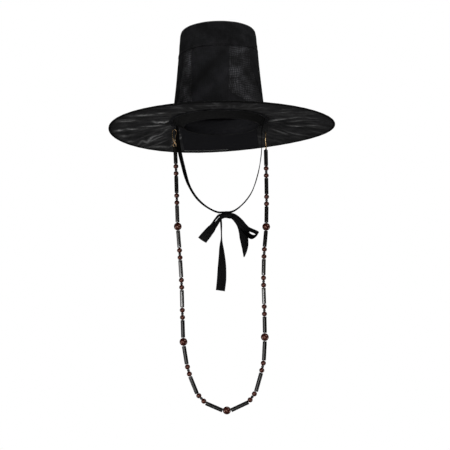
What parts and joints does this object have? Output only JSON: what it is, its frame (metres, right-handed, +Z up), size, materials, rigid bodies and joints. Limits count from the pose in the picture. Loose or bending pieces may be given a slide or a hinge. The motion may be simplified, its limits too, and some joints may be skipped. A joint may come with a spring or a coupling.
{
  "type": "wide-brimmed gauze costume hat with a bead strand and a chin ribbon",
  "caption": "Tall-crowned black gauze hat with a wide thin brim, brass hooks holding a long bead strand, and a chin ribbon tied in a bow.",
  "frame": {"origin": "middle of the headband's lower edge, where the hat sits on the head", "axes": "+Z up along the crown, -Y to the front as in the picture, +X to the viewer's right in the picture"},
  "size_m": [0.3592, 0.359, 0.6112],
  "materials": {
    "gauze": "stiffened sheer black gauze with a slight sheen",
    "binding": "black satin binding, folded over the brim's edge",
    "headband": "matt black woven band",
    "loop_cord": "black twisted cord",
    "brass": "gold-coloured polished wire",
    "tube_bead": "glossy black",
    "red_wood": "lacquered dark red-brown",
    "ribbon": "black satin ribbon with woven edges"
  },
  "bodies": {
    "root": {"crown_wall": "gauze", "crown_cap": "gauze", "brim": "gauze", "brim_binding": "binding", "headband": "headband", "sewn_loop_left": "loop_cord", "sewn_loop_right": "loop_cord", "hook_left": "brass", "hook_right": "brass", "tube_bead_01": "tube_bead", "tube_bead_02": "tube_bead", "tube_bead_03": "tube_bead", "tube_bead_04": "tube_bead", "tube_bead_05": "tube_bead", "tube_bead_06": "tube_bead", "tube_bead_07": "tube_bead", "tube_bead_08": "tube_bead", "tube_bead_09": "tube_bead", "tube_bead_10": "tube_bead", "tube_bead_11": "tube_bead", "tube_bead_12": "tube_bead", "tube_bead_13": "tube_bead", "tube_bead_14": "tube_bead", "tube_bead_15": "tube_bead", "tube_bead_16": "tube_bead", "tube_bead_17": "tube_bead", "tube_bead_18": "tube_bead", "tube_bead_19": "tube_bead", "tube_bead_20": "tube_bead", "large_bead_1": "red_wood", "large_bead_2": "red_wood", "large_bead_3": "red_wood", "large_bead_4": "red_wood", "large_bead_5": "red_wood", "spacer_beads_01": "red_wood", "spacer_beads_02": "red_wood", "spacer_beads_03": "red_wood", "spacer_beads_04": "red_wood", "spacer_beads_05": "red_wood", "spacer_beads_06": "red_wood", "spacer_beads_07": "red_wood", "spacer_beads_08": "red_wood", "spacer_beads_09": "red_wood", "spacer_beads_10": "red_wood", "spacer_beads_11": "red_wood", "spacer_beads_12": "red_wood", "spacer_beads_13": "red_wood", "spacer_beads_14": "red_wood", "ribbon_arm_left": "ribbon", "ribbon_arm_right": "ribbon", "ribbon_knot": "ribbon", "bow_loop_left": "ribbon", "bow_loop_right": "ribbon", "ribbon_tail_middle": "ribbon", "ribbon_tail_right": "ribbon"}
  },
  "joints": []
}
